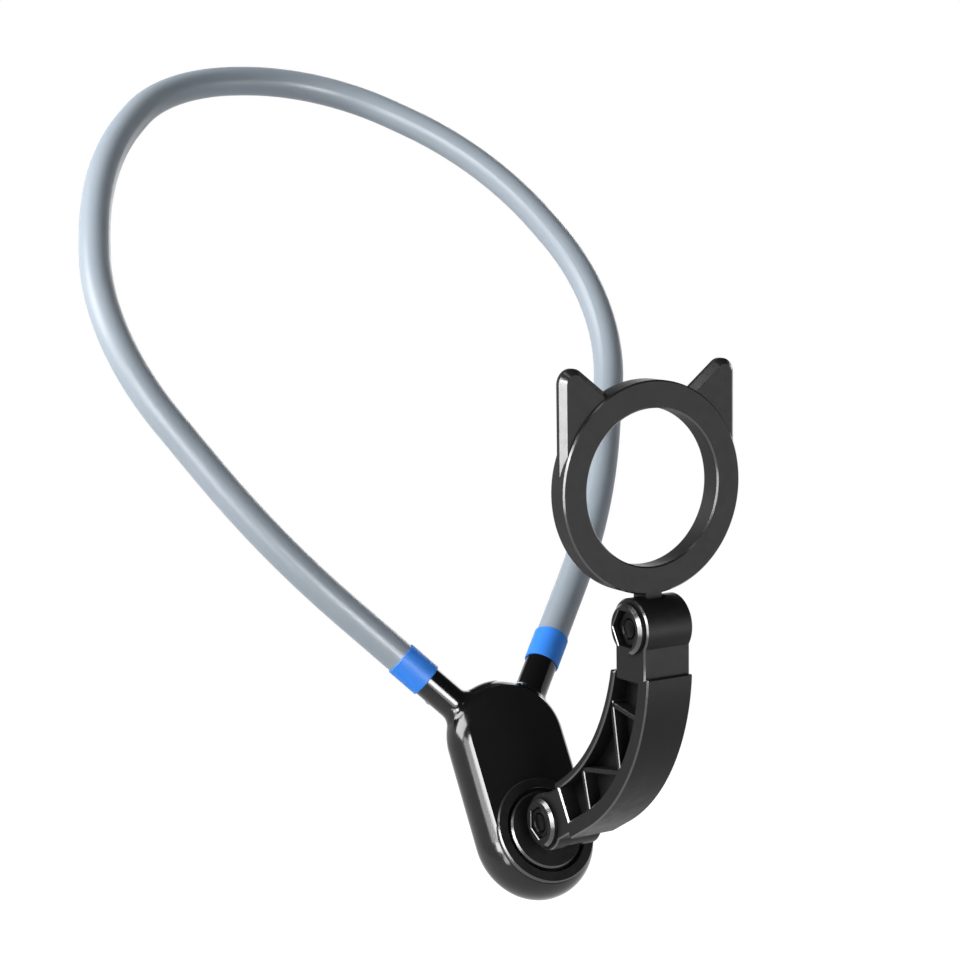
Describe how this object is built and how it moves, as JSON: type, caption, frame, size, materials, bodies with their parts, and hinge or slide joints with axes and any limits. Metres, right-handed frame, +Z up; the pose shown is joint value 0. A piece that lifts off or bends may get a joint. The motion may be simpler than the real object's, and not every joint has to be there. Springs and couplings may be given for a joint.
{
  "type": "neck phone holder",
  "caption": "Neck-worn phone holder: bendable sleeved loop, pendant with a swivel, curved hinged arm and a magnetic ring head with cat ears that holds a phone.",
  "frame": {"origin": "where the loop rests on the nape, on the inner side of the tube at the middle of the back", "axes": "+Z up, -Y forward from the wearer's chest, +X to the wearer's left"},
  "size_m": [0.1804, 0.2461, 0.2404],
  "materials": {
    "sleeve_silicone": "satin",
    "core_wire": "satin",
    "ferrule_blue": "satin",
    "gloss_black": "gloss",
    "satin_black": "satin",
    "head_black": "satin",
    "dark_screw": "satin",
    "plain_steel": "satin",
    "nylon": "satin",
    "nickel": "polished",
    "soft_pad": "matte"
  },
  "bodies": {
    "pendant": {"neck_sleeve": "sleeve_silicone", "neck_core": "core_wire", "ferrule_left": "ferrule_blue", "ferrule_right": "ferrule_blue", "yoke_housing": "gloss_black", "yoke_cover": "gloss_black", "cover_screws": "dark_screw", "stub_screw_left": "dark_screw", "stub_screw_right": "dark_screw", "swivel_collar": "satin_black", "swivel_washer": "nylon", "wave_washer": "plain_steel"},
    "swivel": {"swivel_disc": "satin_black", "swivel_screw": "plain_steel", "retaining_washer": "plain_steel"},
    "arm": {"arm": "satin_black", "lower_bolt": "dark_screw", "lower_nut": "dark_screw", "lower_washers": "nylon", "upper_bolt": "dark_screw", "upper_nut": "dark_screw", "upper_washers": "nylon"},
    "head": {"head_shell": "head_black", "shunt_ring": "plain_steel", "magnets": "nickel", "magnet_cover": "head_black", "face_pad": "soft_pad"}
  },
  "joints": [
    {"name": "swivel_turn", "type": "hinge", "parent": "pendant", "child": "swivel", "pos_m": [0, -0.17596, -0.2154], "axis": [0, -0.866, 0.5], "continuous": true},
    {"name": "arm_swing", "type": "hinge", "parent": "swivel", "child": "arm", "pos_m": [0, -0.18661, -0.20925], "axis": [1, 0, 0], "range_deg": [-35, 50]},
    {"name": "head_tilt", "type": "hinge", "parent": "arm", "child": "head", "pos_m": [0, -0.22862, -0.1474], "axis": [-1, 0, 0], "range_deg": [-10, 60]}
  ]
}
